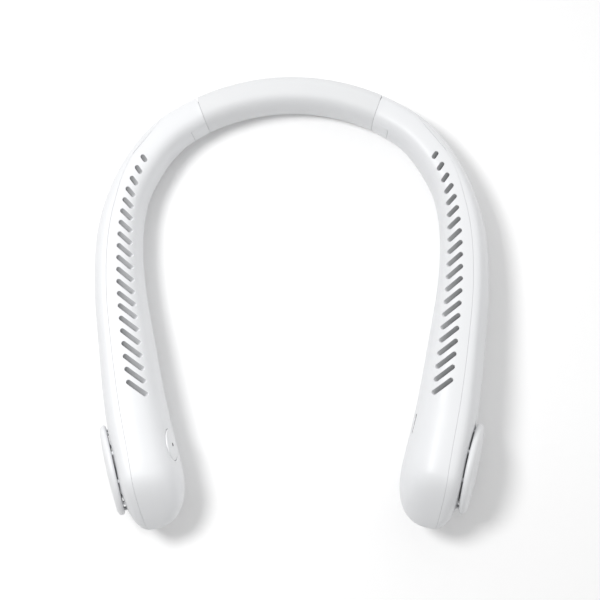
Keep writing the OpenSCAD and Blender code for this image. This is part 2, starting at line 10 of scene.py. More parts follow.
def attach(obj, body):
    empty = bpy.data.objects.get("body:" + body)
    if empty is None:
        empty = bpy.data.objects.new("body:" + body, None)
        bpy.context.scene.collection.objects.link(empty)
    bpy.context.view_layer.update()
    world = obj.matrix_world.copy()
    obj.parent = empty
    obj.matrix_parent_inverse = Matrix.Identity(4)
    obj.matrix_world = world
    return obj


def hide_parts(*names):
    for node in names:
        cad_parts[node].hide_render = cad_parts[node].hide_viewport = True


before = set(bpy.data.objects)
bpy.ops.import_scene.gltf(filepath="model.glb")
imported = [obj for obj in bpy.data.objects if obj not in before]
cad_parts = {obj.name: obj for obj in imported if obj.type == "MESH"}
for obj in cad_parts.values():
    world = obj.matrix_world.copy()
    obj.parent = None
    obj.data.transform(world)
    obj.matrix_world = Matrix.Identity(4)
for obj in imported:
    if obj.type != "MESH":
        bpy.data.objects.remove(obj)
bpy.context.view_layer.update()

bpy.ops.object.select_all(action="DESELECT")
print("stage: frame loaded")

mm = 0.001
bothSides = ((1, "right"), (-1, "left"))
sideways = {1: Matrix.Identity(4), -1: Matrix.Diagonal((-1, 1, 1, 1))}

# Arms, in millimetres on the right side. Each station is x, y, half width inwards, half width outwards,
# inner and outer roundness, outer lean
armShape = {
    "stations": [
        [32.8, 91.2, 7.4, 7.4, 3.2, 3.0, 0],
        [42.4, 87.1, 7.4, 7.4, 3.2, 3.0, 0],
        [56.6, 78.2, 7.8, 7.8, 3.4, 2.8, 0.02],
        [68.1, 66.0, 9.2, 7.6, 3.5, 3.0, 0.08],
        [77.3, 50.0, 10.7, 7.2, 3.5, 3.2, 0.13],
        [81.4, 31.0, 12.0, 8.4, 3.5, 3.5, 0.16],
        [81.9, 8.0, 13.7, 8.8, 3.5, 3.7, 0.17],
        [79.4, -16.7, 15.4, 9.3, 3.4, 3.7, 0.17],
        [74.0, -50.5, 16.8, 10.6, 3.0, 3.8, 0.15],
        [67.35, -78.2, 17.3, 11.2, 2.8, 4.0, 0.14],
    ],
    "bandHeight": 28,
    "fanRadius": 26,
    "fanTurn": 13,
    "turnRow": 8.2,
    "turnRows": 0.7,
    "floorCut": 0.3,
    "levelling": 0.04,
    "endRoundness": 2.5,
    "endRake": 0.45,
    "rakeEase": 4,
    "endRing": 9.35,
    "endRingPoints": 46,
    "wall": 1.8,
    "edgeRound": 0.14,
    "meshStep": 1.4,
}
edge = armShape["edgeRound"]
rows = np.array(armShape["stations"], float)
lastRow = len(rows) - 1
tipT = lastRow + 1
rowsWithEnds = np.vstack([2 * rows[0] - rows[1], rows, 2 * rows[-1] - rows[-2]])
armTopY = rows[1][1]
armLowY = rows[lastRow][1]
fanTurn = math.radians(armShape["fanTurn"])
fanHeading = np.array([-math.sin(fanTurn), -math.cos(fanTurn)])
endRadius = armShape["fanRadius"] + armShape["floorCut"] / 2


def softStep(share):
    # goes from 0 to 1 with a level start and end
    return share * share * (3 - 2 * share)


def rowAt(t):
    # a smooth curve through the stations
    k = np.clip(np.floor(t).astype(int), 0, lastRow - 1)
    u = (t - k)[..., None]
    a, b, c, d = (rowsWithEnds[k + step] for step in range(4))
    return 0.5 * (2 * b + (c - a) * u + (2 * a - 5 * b + 4 * c - d) * u**2 + (3 * b - a - 3 * c + d) * u**3)


def headingAt(t):
    # the arm's direction, which turns to the fan's towards the last station
    step = rowAt(t + 0.01)[..., :2] - rowAt(t - 0.01)[..., :2]
    step /= np.linalg.norm(step, axis=-1, keepdims=True)
    share = softStep(np.clip((t - armShape["turnRow"]) / armShape["turnRows"], 0, 1))[..., None]
    heading = step * (1 - share) + fanHeading * share
    return heading / np.linalg.norm(heading, axis=-1, keepdims=True)


def heightAt(y):
    # the arm grows evenly from the joint to the fan, and levels out just before the fan's middle
    levelling = armShape["levelling"]
    share = np.clip((armTopY - y) / (armTopY - armLowY), 0, 1)
    late = np.maximum(share - (1 - levelling), 0)
    grown = share / (1 - levelling / 2) - late * late / (2 * levelling * (1 - levelling / 2))
    return armShape["bandHeight"] + (2 * armShape["fanRadius"] - armShape["bandHeight"]) * grown


# t runs along the arm's stations, and past the last one over the rounded end to its tip.
# The angle runs round the arm: 0 out, 90 up, 180 to the neck
def reachAndRise(t, angle):
    row = rowAt(np.minimum(t, lastRow))
    turn = np.clip(t - lastRow, 0, 1) * math.pi / 2
    shrink = (1 - np.minimum(np.sin(turn), 1) ** armShape["endRoundness"]) ** (1 / armShape["endRoundness"])
    half = (heightAt(row[..., 1]) / 2 + armShape["floorCut"] / 2) * np.cos(turn)
    c, s = np.cos(np.radians(angle)), np.sin(np.radians(angle))
    roundness = np.where(c >= 0, row[..., 5], row[..., 4])
    size = (np.abs(c) ** roundness + np.abs(s) ** roundness) ** (-1 / roundness)
    rise = half * s * size
    reach = c * size * shrink * np.where(c >= 0, row[..., 3] - row[..., 6] * rise, row[..., 2])
    # the upper half of the rounded end leans back, softly from its middle height
    lift = np.maximum(rise, 0)
    lift = lift * lift / (lift + armShape["rakeEase"])
    forward = np.sin(turn) * (endRadius - armShape["endRake"] * lift)
    return row, forward, reach, rise


def armPoint(t, angle):
    t, angle = np.broadcast_arrays(np.asarray(t, float), np.asarray(angle, float))
    row, forward, reach, rise = reachAndRise(t, angle)
    heading = headingAt(np.minimum(t, lastRow))
    out = np.stack([-heading[..., 1], heading[..., 0]], axis=-1)
    flat = row[..., :2] + heading * forward[..., None] + out * reach[..., None]
    z = np.maximum(heightAt(row[..., 1]) / 2 - armShape["floorCut"] / 2 + rise, 0)
    return np.concatenate([flat, z[..., None]], axis=-1)


def armNormal(t, angle):
    t = np.minimum(t, tipT - 0.0015)
    along = armPoint(t + 0.001, angle) - armPoint(t - 0.001, angle)
    around = armPoint(t, angle + 0.1) - armPoint(t, angle - 0.1)
    normal = np.cross(around, along)
    return normal / np.maximum(np.linalg.norm(normal, axis=-1, keepdims=True), 1e-12)


def halve(miss, low, high, count):
    # the values between low and high where miss() changes sign, for so many points at once
    low, high = np.full(count, float(low)), np.full(count, float(high))
    start = np.sign(miss(low))
    for step in range(48):
        middle = (low + high) / 2
        same = np.sign(miss(middle)) == start
        low, high = np.where(same, middle, low), np.where(same, high, middle)
    return (low + high) / 2


def findOnArm(place, wanted, t, angle):
    # surface points seen at the wanted x and y in the frame of place, searched from a start near them
    inverse = np.array(place.inverted())[:2]
    wanted = np.asarray(wanted, float)
    tStep, angleStep = 1e-4, 1e-2

    def miss(t, angle):
        return armPoint(t, angle) @ inverse[:, :3].T + inverse[:, 3] - wanted

    t, angle = np.full(len(wanted), float(t)), np.full(len(wanted), float(angle))
    for step in range(40):
        here = miss(t, angle)
        byT = (miss(t + tStep, angle) - here) / tStep
        byAngle = (miss(t, angle + angleStep) - here) / angleStep
        det = byT[:, 0] * byAngle[:, 1] - byT[:, 1] * byAngle[:, 0]
        det = np.where(np.abs(det) < 1e-9, 1e-9, det)
        t = t - np.clip((here[:, 0] * byAngle[:, 1] - here[:, 1] * byAngle[:, 0]) / det, -0.2, 0.2)
        angle = angle - np.clip((byT[:, 0] * here[:, 1] - byT[:, 1] * here[:, 0]) / det, -8, 8)
    return t, angle


def layFlat(middle):
    # the arm's surface laid flat in real lengths, round the angle in middle
    ts = np.linspace(0.6, tipT, 941)
    angles = np.linspace(middle - 180, middle + 180, 721)
    places = armPoint(ts[:, None], angles[None, :])
    around = np.linalg.norm(np.diff(places, axis=1), axis=2)
    across = np.concatenate([np.zeros((len(ts), 1)), np.cumsum(around, axis=1)], axis=1)
    across -= across[:, [len(angles) // 2]]
    spineLine = rowAt(np.minimum(ts, lastRow))[:, :2]
    along = np.concatenate([[0], np.cumsum(np.linalg.norm(np.diff(spineLine, axis=0), axis=1))])
    along += endRadius * np.clip(ts - lastRow, 0, 1) * math.pi / 2
    return {"ts": ts, "angles": angles, "across": across, "along": along}


def toFlat(sheet, t, angle):
    i = (np.asarray(t) - sheet["ts"][0]) / (sheet["ts"][1] - sheet["ts"][0])
    j = (np.asarray(angle) - sheet["angles"][0]) / (sheet["angles"][1] - sheet["angles"][0])
    i0 = np.clip(i.astype(int), 0, len(sheet["ts"]) - 2)
    j0 = np.clip(j.astype(int), 0, len(sheet["angles"]) - 2)
    u, v = i - i0, j - j0
    a = sheet["across"]
    across = (a[i0, j0] * (1 - u) * (1 - v) + a[i0 + 1, j0] * u * (1 - v)
              + a[i0, j0 + 1] * (1 - u) * v + a[i0 + 1, j0 + 1] * u * v)
    return np.stack([np.interp(t, sheet["ts"], sheet["along"]), across], axis=-1)


def fromTip(sheet, t, angle):
    # the rounded end as seen from its tip, used in place of toFlat there
    p = armPoint(t, angle)
    return np.stack([p[:, 1] * fanHeading[0] - p[:, 0] * fanHeading[1], p[:, 2]], axis=-1)


def insideLoops(points, loops):
    inside = np.zeros(len(points), bool)
    batch = 4000
    for loop in loops:
        a, b = loop, np.roll(loop, -1, axis=0)
        rise = np.where(b[:, 1] == a[:, 1], 1e-12, b[:, 1] - a[:, 1])
        for start in range(0, len(points), batch):
            p = points[start:start + batch]
            crosses = (a[None, :, 1] > p[:, None, 1]) != (b[None, :, 1] > p[:, None, 1])
            at = a[None, :, 0] + (p[:, None, 1] - a[None, :, 1]) * ((b - a)[None, :, 0] / rise[None, :])
            inside[start:start + batch] ^= (crosses & (p[:, None, 0] < at)).sum(axis=1) % 2 == 1
    return inside


def meshPatch(sheet, loops, flatten):
    # the arm's surface inside the first loop and outside the others. Each loop has its edge rounding
    step = armShape["meshStep"]
    batch = 2000
    flatLoops = [flatten(sheet, t, angle) for t, angle, edgeRound in loops]
    edgePoints = np.concatenate(flatLoops)
    ts, angles = [], []
    firstRun = np.interp(loops[0][0].min(), sheet["ts"], sheet["along"])
    for along in np.arange(firstRun, sheet["along"][-1], step):
        t = np.interp(along, sheet["along"], sheet["ts"])
        k = min(int((t - sheet["ts"][0]) / (sheet["ts"][1] - sheet["ts"][0])), len(sheet["ts"]) - 2)
        across = sheet["across"][k]
        wanted = np.arange(math.ceil(across[0] / step), math.floor(across[-1] / step) + 1) * step
        angles.append(np.interp(wanted, across, sheet["angles"]))
        ts.append(np.full(len(wanted), t))
    ts, angles = np.concatenate(ts), np.concatenate(angles)
    within = flatten(sheet, ts, angles)
    nearest = np.empty(len(within))
    for start in range(0, len(within), batch):
        gap = within[start:start + batch, None] - edgePoints[None]
        nearest[start:start + batch] = np.sqrt((gap**2).sum(axis=2)).min(axis=1)
    kept = insideLoops(within, flatLoops) & (nearest > 0.5 * step)
    flat = np.concatenate([edgePoints, within[kept]])
    t = np.concatenate([loop[0] for loop in loops] + [ts[kept]])
    angle = np.concatenate([loop[1] for loop in loops] + [angles[kept]])
    edges, start = [], 0
    for loop in flatLoops:
        count = len(loop)
        edges += [(start + k, start + (k + 1) % count) for k in range(count)]
        start += count
    made = delaunay_2d_cdt([Vector(p) for p in flat], edges, [], 0, 1e-5)
    source = [found[0] if found else -1 for found in made[3]]
    triangles = np.array([[source[v] for v in face] for face in made[2] if len(face) == 3])
    triangles = triangles[(triangles >= 0).all(axis=1)]
    triangles = triangles[insideLoops(flat[triangles].mean(axis=1), flatLoops)]
    rounds = np.concatenate([np.full(len(loop[0]), loop[2]) for loop in loops] + [np.zeros(kept.sum())])
    # all triangles of a patch turn the same way, so one test faces them all outwards
    a, b, c = (armPoint(t[triangles[:, k]], angle[triangles[:, k]]) for k in range(3))
    if (np.cross(b - a, c - a) * armNormal(t, angle)[triangles].mean(axis=1)).sum() < 0:
        triangles = triangles[:, ::-1]
    return t, angle, rounds, triangles


def meshRegion(sheet, patches, slide=None):
    # joins patches of the arm's surface to one skin, with the points of its inner side
    count, parts = 0, []
    for loops, flatten in patches:
        t, angle, rounds, triangles = meshPatch(sheet, loops, flatten)
        parts.append((t, angle, rounds, triangles + count))
        count += len(t)
    t, angle, rounds, triangles = (np.concatenate([part[k] for part in parts]) for k in range(4))
    points, normals = armPoint(t, angle), armNormal(t, angle)
    under = points - normals * armShape["wall"]
    if slide:
        t, angle = slide(t, angle)
        under = armPoint(t, angle) - armNormal(t, angle) * armShape["wall"]
    # the same place reached from two sides is one point
    first, index = {}, np.arange(len(points))
    for k, p in enumerate(np.round(points, 3)):
        index[k] = first.setdefault(tuple(p), k)
    triangles = index[triangles]
    a, b, c = triangles.T
    solid = (a != b) & (b != c) & (a != c)
    return points, normals, triangles[solid].tolist(), rounds, under


def newPiece(name, points, edges, faces):
    mesh = bpy.data.meshes.new(name)
    mesh.from_pydata(points, edges, faces)
    piece = bpy.data.objects.new(name, mesh)
    bpy.context.scene.collection.objects.link(piece)
    return piece


def makeMesh(name, points, faces, cornerNormals, side):
    # a piece in its place in metres, mirrored for the left side, with its own normals
    points = np.array(points, float) * mm * [side, 1, 1]
    if side < 0:
        faces = [face[::-1] for face in faces]
        cornerNormals = [corners[::-1] for corners in cornerNormals]
    piece = newPiece(name, points.tolist(), [], faces)
    piece.data.shade_smooth()
    flatNormals = np.array([n for corners in cornerNormals for n in corners], float) * [side, 1, 1]
    piece.data.normals_split_custom_set(flatNormals.tolist())
    return piece


def closeSkin(name, points, normals, faces, rounds, under, side):
    # gives an open skin rounded edges, walls and an inner skin
    used = sorted({v for face in faces for v in face})
    renumber = {v: k for k, v in enumerate(used)}
    points, normals, rounds, under = points[used], normals[used], rounds[used], under[used]
    faces = [[renumber[v] for v in face] for face in faces]
    directed = {(face[k], face[(k + 1) % len(face)]) for face in faces for k in range(len(face))}
    following = {a: b for a, b in directed if (b, a) not in directed}
    before = {b: a for a, b in following.items()}
    rim = list(following)
    place = {v: k for k, v in enumerate(rim)}
    p, n = points[rim], normals[rim]
    inward = p - points[[before[v] for v in rim]]
    outward = points[[following[v] for v in rim]] - p
    sides = []
    for rimEdge in (inward, outward):
        over = np.cross(rimEdge, n)
        sides.append(over / np.maximum(np.linalg.norm(over, axis=1, keepdims=True), 1e-9))
    miter = (sides[0] + sides[1]) / np.maximum(1 + (sides[0] * sides[1]).sum(axis=1, keepdims=True), 0.3)
    level = miter / np.maximum(np.linalg.norm(miter, axis=1, keepdims=True), 1e-9)
    edgeRound = rounds[rim][:, None]
    allPoints, count = [points], len(points)
    rings, ringNormals = [np.array(rim)], [n]
    for degrees in (30, 60, 90):
        s, c = math.sin(math.radians(degrees)), math.cos(math.radians(degrees))
        allPoints.append(p + miter * edgeRound * s - n * edgeRound * (1 - c))
        rings.append(count + np.arange(len(rim)))
        ringNormals.append(n * c + level * s)
        count += len(rim)
    allPoints.append(under[rim] + miter * edgeRound)
    foot = count + np.arange(len(rim))
    count += len(rim)
    allPoints.append(under)
    outFaces = [list(face) for face in faces]
    corners = [[normals[v] for v in face] for face in faces]
    for a in rim:
        i, j = place[a], place[following[a]]
        for ring, nextRing, bend, nextBend in zip(rings, rings[1:], ringNormals, ringNormals[1:]):
            outFaces.append([ring[j], ring[i], nextRing[i], nextRing[j]])
            corners.append([bend[j], bend[i], nextBend[i], nextBend[j]])
        outFaces.append([rings[-1][j], rings[-1][i], foot[i], foot[j]])
        corners.append([level[j], level[i], level[i], level[j]])
        outFaces.append([foot[j], foot[i], count + a, count + following[a]])
        corners.append([-n[j], -n[i], -n[i], -n[j]])
    for face in faces:
        outFaces.append([count + v for v in face[::-1]])
        corners.append([-normals[v] for v in face[::-1]])
    outFaces = [[int(v) for v in face] for face in outFaces]
    return makeMesh(name, np.concatenate(allPoints), outFaces, corners, side)


# Frames of the hinge and the fan on the right side, in millimetres
hinge = {"angle": 20, "outer": (43.0, 95.1), "inset": 4.4, "gap": 0.35, "swing": 10, "spareSwing": 1,
         "row": 1.1, "edgePoints": 72}
hingeTurn = math.radians(hinge["angle"])
pinAt = Vector((hinge["outer"][0] - hinge["inset"] * math.sin(hingeTurn),
                hinge["outer"][1] - hinge["inset"] * math.cos(hingeTurn), 0))
hingeFrame = Matrix.Translation(pinAt) @ Matrix.Rotation(-hingeTurn, 4, "Z")
hingeWall = hingeFrame @ Matrix.Rotation(math.radians(90), 4, "X")
fan = {"run": 4.8, "coverLean": 9.4, "intakeGap": 0.5, "coverForward": 0.8}
fanAt = Vector((rows[lastRow][0] + fan["run"] * math.sin(fanTurn),
                rows[lastRow][1] + fan["run"] * math.cos(fanTurn),
                armShape["fanRadius"] - armShape["floorCut"]))
fanFrame = (Matrix.Translation(fanAt) @ Matrix.Rotation(-fanTurn, 4, "Z")
            @ Matrix.Rotation(math.radians(90), 4, "Y"))
coverFrame = (fanFrame @ Matrix.Translation((0, -fan["coverForward"], rows[lastRow][3] + fan["intakeGap"]))
              @ Matrix.Rotation(math.radians(-fan["coverLean"]), 4, "Y"))


def roundedBar(half, radius, step, arc=8):
    # outline of a bar with round ends, along x
    arcAngles = np.radians(np.linspace(-90, 90, arc + 1))
    right = [(half + radius * math.cos(a), radius * math.sin(a)) for a in arcAngles]
    count = max(int(2 * half / step), 1)
    top = [(half - 2 * half * k / count, radius) for k in range(1, count)]
    left = [(-x, -y) for x, y in right]
    bottom = [(-x, -y) for x, y in top]
    return np.array(right + top + left + bottom)


def uprightBar(half, radius, step, arc):
    # the same bar turned to lie along y
    return roundedBar(half, radius, step, arc)[:, ::-1] * [1, -1]


def ringOutline(radius, count):
    a = np.radians(np.arange(count) * 360 / count)
    return np.stack([radius * np.cos(a), radius * np.sin(a)], axis=1)


# Seam: the two casings meet this far outwards of the arm's middle line, further out near the joint
seam = {"gap": 0.05, "jointOut": 5.5, "jointRow": 1.7, "jointRows": 0.6, "startOut": 4, "startRow": 4.4,
        "startRows": 1.8, "endOut": 1.05, "endSlope": 0.0737, "sideAngle": 71, "angleStep": 3.5,
        "rowStep": 0.065, "endRowStep": 0.035, "tipRow": 9.7, "tipPoints": 18}


def seamOffset(t, forward):
    joint = np.maximum(0, 1 - (t - seam["jointRow"]) / seam["jointRows"])
    start = np.clip((seam["startRow"] - t) / seam["startRows"], 0, 1)
    end = np.clip(t - lastRow + 1, 0, 1)
    return (seam["jointOut"] * joint**2 + seam["startOut"] * softStep(start) + seam["endOut"] * end**2
            + seam["endSlope"] * forward)


def seamHalf(shift, up):
    # the seam from the outermost side over the top or the underside to the tip, shifted outwards
    def miss(t, angle):
        row, forward, reach, rise = reachAndRise(t, up * angle)
        return reach - seamOffset(t, forward) - shift

    sideAngles = np.arange(0, seam["sideAngle"], seam["angleStep"])
    sideTs = halve(lambda t: miss(t, sideAngles), 1.5, 5, len(sideAngles))
    runTs = np.concatenate([np.arange(sideTs[-1] + 0.06, lastRow, seam["rowStep"]),
                            np.arange(lastRow, seam["tipRow"], seam["endRowStep"])])
    runAngles = halve(lambda angle: miss(runTs, angle), 20, 175, len(runTs))
    tipAngles = np.linspace(runAngles[-1], 0, seam["tipPoints"])[1:]
    tipTs = halve(lambda t: miss(t, tipAngles), 9.5, tipT - 1e-9, len(tipAngles))
    return np.concatenate([sideTs, runTs, tipTs]), np.concatenate([sideAngles, runAngles, tipAngles])


# Air slots along the top of the arm. Runs are measured along the arm's middle line from its first station
slots = {"count": 20, "start": 44.2, "pitch": 5.85, "width": 2.0, "shortest": 3.9, "longest": 11.1,
         "firstInset": 2.3, "lastInset": 8.75, "insetEase": 3.5, "slant": 44.5, "extraSlant": 27,
         "slantEase": 2.5, "edgeRound": 0.22, "outlineStep": 0.9, "angle": 115, "lean": 2.2,
         "leanAtSeam": 3.5, "leanSide": (172, 30), "leanStart": (1.4, 0.4), "leanEnd": (8.6, 0.6)}
spineT = np.linspace(0, lastRow, 121)
spine = rowAt(spineT)[:, :2]
spineRun = np.concatenate([[0], np.cumsum(np.linalg.norm(np.diff(spine, axis=0), axis=1))])


def slotSlant(u):
    # how far a slot is turned from the arm's direction, most at the joint and least at the fan
    return np.radians(slots["slant"] + slots["extraSlant"] * (1 - u) ** slots["slantEase"])


def slotLoops():
    loops = []
    for k in range(slots["count"]):
        u = k / (slots["count"] - 1)
        t = np.interp(slots["start"] + slots["pitch"] * k, spineRun, spineT)
        nearer = (slots["lastInset"] - slots["firstInset"]) * (1 - u) ** slots["insetEase"]
        inset = slots["lastInset"] - nearer
        length = slots["shortest"] + (slots["longest"] - slots["shortest"]) * math.sin(math.radians(90 * u))
        radius = slots["width"] / 2 + slots["edgeRound"]
        outline = roundedBar((length - slots["width"]) / 2, radius, slots["outlineStep"])
        heading = headingAt(np.array([t]))[0]
        turn = math.atan2(heading[1], heading[0]) - slotSlant(u)
        c, s = math.cos(turn), math.sin(turn)
        at = rowAt(np.array([t]))[0, :2] - np.array([-heading[1], heading[0]]) * inset
        outline = at + outline @ np.array([[c, s], [-s, c]])
        loops.append((*findOnArm(Matrix.Identity(4), outline, t, slots["angle"]), slots["edgeRound"]))
    return loops


def leanSlots(t, angle):
    # the inner skin slides across the slots, so that their walls lean. It stays put at the seam and the side
    row, forward, reach, rise = reachAndRise(t, angle)
    u = (np.interp(t, spineT, spineRun) - slots["start"]) / (slots["pitch"] * (slots["count"] - 1))
    slant = slotSlant(np.clip(u, 0, 1))
    share = (np.clip((seamOffset(t, forward) - reach) / slots["leanAtSeam"], 0, 1)
             * np.clip((slots["leanSide"][0] - angle) / slots["leanSide"][1], 0, 1)
             * np.clip((t - slots["leanStart"][0]) / slots["leanStart"][1], 0, 1)
             * np.clip((slots["leanEnd"][0] - t) / slots["leanEnd"][1], 0, 1))
    slid = slots["lean"] * softStep(share)
    perT = np.linalg.norm(armPoint(t + 0.01, angle) - armPoint(t - 0.01, angle), axis=-1) / 0.02
    perDegree = np.linalg.norm(armPoint(t, angle + 0.5) - armPoint(t, angle - 0.5), axis=-1)
    return (t + slid * np.sin(slant) / np.maximum(perT, 1),
            angle - slid * np.cos(slant) / np.maximum(perDegree, 0.05))


# Panel over the hinge, on the side towards the neck
panel = {"length": 8.2, "low": 4.5, "high": 24, "gap": 0.1, "row": 1.3, "endPoints": 8, "notchPoints": 16,
         "sidePoints": 15}


def panelSides(left, right, low, high, count):
    # from the joint along the top side, down and back
    return ([(x, high) for x in np.linspace(left, right, panel["endPoints"])]
            + [(right, z) for z in np.linspace(high, low, count)[1:]]
            + [(x, low) for x in np.linspace(right, left, panel["endPoints"])[1:]])


def innerRegions(sheet):
    # two outlines: the arm up to a ring behind its rounded end, and the end, which is meshed from its tip
    shift = -seam["gap"] / 2 - edge
    topT, top = seamHalf(shift, 1)
    lowT, low = seamHalf(shift, -1)
    inverse = np.array(hingeFrame.inverted())
    relief = math.tan(math.radians(hinge["swing"] + hinge["spareSwing"]))

    def miss(t, angle):
        local = armPoint(t, angle) @ inverse[:3, :3].T + inverse[:3, 3]
        return local[..., 0] - hinge["gap"] - edge - np.maximum(local[..., 1], 0) * relief

    row = sheet["across"][np.searchsorted(sheet["ts"], hinge["row"])]
    around = np.interp(np.linspace(row[0], row[-1], hinge["edgePoints"]), row, sheet["angles"])
    joint = halve(lambda t: miss(t, around), 0.62, 2.2, len(around))
    notch = panelSides(hinge["gap"] + edge, panel["length"] + panel["gap"] + edge,
                       panel["low"] - panel["gap"] - edge, panel["high"] + panel["gap"] + edge,
                       panel["notchPoints"])
    notchT, notchAngle = findOnArm(hingeWall, notch, panel["row"], 180)
    above, below = around < notchAngle[0] - 1, around > notchAngle[-1] + 1
    # the skin meets itself along the outermost line, from the joint to the start of the seam
    weld = np.linspace(joint[0], topT[0], 12)[1:-1]
    ringT = armShape["endRing"]
    a, b = np.abs(topT - ringT).argmin(), np.abs(lowT - ringT).argmin()
    row = sheet["across"][np.searchsorted(sheet["ts"], ringT)]
    ends = np.interp([360 - low[b], top[a]], sheet["angles"], row)
    ring = np.interp(np.linspace(*ends, armShape["endRingPoints"]), row, sheet["angles"])[1:-1]
    ringTs = np.full(len(ring), ringT)
    t = np.concatenate([joint[above], notchT, joint[below], weld, lowT[:b + 1], ringTs, topT[a::-1],
                        weld[::-1]])
    angle = np.concatenate([around[above], notchAngle, around[below], np.full(len(weld), 360.0),
                            360 - low[:b + 1], ring, top[a::-1], np.zeros(len(weld))])
    endT = np.concatenate([lowT[b:], topT[-2:a - 1:-1], ringTs])
    endAngle = np.concatenate([360 - low[b:], top[-2:a - 1:-1], ring[::-1]])
    return (t, angle, edge), (endT, endAngle, edge)


def outerRegion():
    shift = seam["gap"] / 2 + edge
    topT, top = seamHalf(shift, 1)
    lowT, low = seamHalf(shift, -1)
    return np.concatenate([topT, lowT[-2:0:-1]]), np.concatenate([top, -low[-2:0:-1]]), edge


# Button on the left end and charging port on the right end, placed in the fan's frame.
# The dish and the lens are (radius, depth) points from the button's and the lens's foremost place
buttonShape = {"run": 4.2, "up": 8.3, "row": 8.85, "radius": 7.2, "tilt": 6, "face": -17.06, "proud": 0.25,
               "dome": 52, "domeStart": 1.45, "soft": 0.45, "gap": 0.3, "holePoints": 56,
               "flangeZ": -14, "flange": 0.5,
               "dish": [(0, 0.35), (0.83, 0.35), (0.95, 0.25), (0.95, 0.12), (1.07, 0.02)],
               "lensFront": -17.52,
               "lens": [(0, 0), (0.38, 0.04), (0.65, 0.15), (0.8, 0.3), (0.83, 0.42), (0.83, 0.62),
                        (0, 0.62)]}
portShape = {"run": 13.2, "up": 6, "row": 8.5, "width": 3.2, "length": 9, "face": -16.85, "recess": 0.3,
             "gap": 0.15, "back": -12, "wall": 0.3, "lip": 0.1, "floor": 0.5, "tongue": (0.7, 6.4, 3.6),
             "tongueSunk": 0.05, "tongueRound": 0.15}
buttonFrame = (fanFrame
               @ Matrix.Translation((-buttonShape["up"], buttonShape["run"], buttonShape["face"]))
               @ Matrix.Rotation(math.radians(buttonShape["tilt"]), 4, "Y")
               @ Matrix.Translation((0, 0, -buttonShape["face"])))
portFrame = fanFrame @ Matrix.Translation((-portShape["up"], portShape["run"], 0))
portHalf = (portShape["length"] - portShape["width"]) / 2
portRadius = portShape["width"] / 2

neckSheet = layFlat(180)
outerSheet = layFlat(0)
inner, innerEnd = innerRegions(neckSheet)
slotHoles = slotLoops()
buttonOutline = ringOutline(buttonShape["radius"] + buttonShape["gap"] + edge, buttonShape["holePoints"])
buttonHole = (*findOnArm(buttonFrame, buttonOutline, buttonShape["row"], 180), edge)
portOutline = uprightBar(portHalf, portRadius + portShape["gap"] + edge, step=0.9, arc=12)
portHole = (*findOnArm(portFrame, portOutline, portShape["row"], 180), edge)
casings = {}
for side, name, hole in ((1, "right", portHole), (-1, "left", buttonHole)):
    skin = meshRegion(neckSheet, [([inner] + slotHoles + [hole], toFlat), ([innerEnd], fromTip)], leanSlots)
    casings[name + "Inner"] = closeSkin(name + "_inner_casing", *skin, side)
print("stage: inner casings", len(skin[2]))

intake = {"windows": 12, "low": 6.5, "lowRadius": 0.9, "high": 13.9, "highRadius": 2, "row": 8.85}


def windowOutline(turn):
    # a tapered bar with round ends, pointing away from the fan's middle
    low, high = intake["low"], intake["high"]
    small, large = intake["lowRadius"] + edge, intake["highRadius"] + edge
    slope = math.degrees(math.asin((large - small) / (high - low)))
    endArc = np.radians(np.linspace(-90 - slope, 90 + slope, 13))
    startArc = np.radians(np.linspace(90 + slope, 270 - slope, 8))
    between = np.linspace(0, 1, 8)[1:-1]
    end = [(high + large * math.cos(x), large * math.sin(x)) for x in endArc]
    start = [(low + small * math.cos(x), small * math.sin(x)) for x in startArc]
    outline = []
    for arc, following in ((end, start), (start, end)):
        outline += arc
        outline += [(arc[-1][0] + (following[0][0] - arc[-1][0]) * k,
                     arc[-1][1] + (following[0][1] - arc[-1][1]) * k) for k in between]
    c, s = math.cos(turn), math.sin(turn)
    return np.array(outline) @ np.array([[c, s], [-s, c]])


windowTurns = [math.radians((k + 0.5) * 360 / intake["windows"]) for k in range(intake["windows"])]
windowHoles = [(*findOnArm(fanFrame, windowOutline(turn), intake["row"], 0), edge) for turn in windowTurns]
outer = outerRegion()
for side, name in bothSides:
    skin = meshRegion(outerSheet, [([outer] + windowHoles, toFlat)])
    casings[name + "Outer"] = closeSkin(name + "_outer_casing", *skin, side)
print("stage: outer casings", len(skin[2]))

panelStart = hinge["gap"] + edge
panelLow, panelHigh = panel["low"] + edge, panel["high"] - edge
panelOutline = (panelSides(panelStart, panel["length"] - edge, panelLow, panelHigh, panel["sidePoints"])
                + [(panelStart, z) for z in np.linspace(panelLow, panelHigh, panel["sidePoints"])[1:-1]])
panelLoop = (*findOnArm(hingeWall, panelOutline, panel["row"], 180), edge)
for side, name in bothSides:
    skin = meshRegion(neckSheet, [([panelLoop], toFlat)])
    casings[name + "Hinge"] = closeSkin(name + "_hinge_panel", *skin, side)
print("stage: hinge panels")

# The band's ends are searched for between two bearings from straight back
band = {"outerRadius": 105, "width": 14.8, "centreY": -0.85, "roundness": 3.1, "wall": 1.8,
        "edgeRound": 0.15, "end": 0.28, "rings": 132, "around": 84, "leastBearing": 12, "mostBearing": 36}


def bandPoint(bearing, angle):
    c, s = np.cos(np.radians(angle)), np.sin(np.radians(angle))
    size = (np.abs(c) ** band["roundness"] + np.abs(s) ** band["roundness"]) ** (-1 / band["roundness"])
    radius = band["outerRadius"] - band["width"] / 2 + band["width"] / 2 * c * size
    height = armShape["bandHeight"]
    z = np.maximum((height - armShape["floorCut"]) / 2 + (height + armShape["floorCut"]) / 2 * s * size, 0)
    x, y = radius * np.sin(np.radians(bearing)), radius * np.cos(np.radians(bearing)) + band["centreY"]
    return np.stack(np.broadcast_arrays(x, y, z), axis=-1)


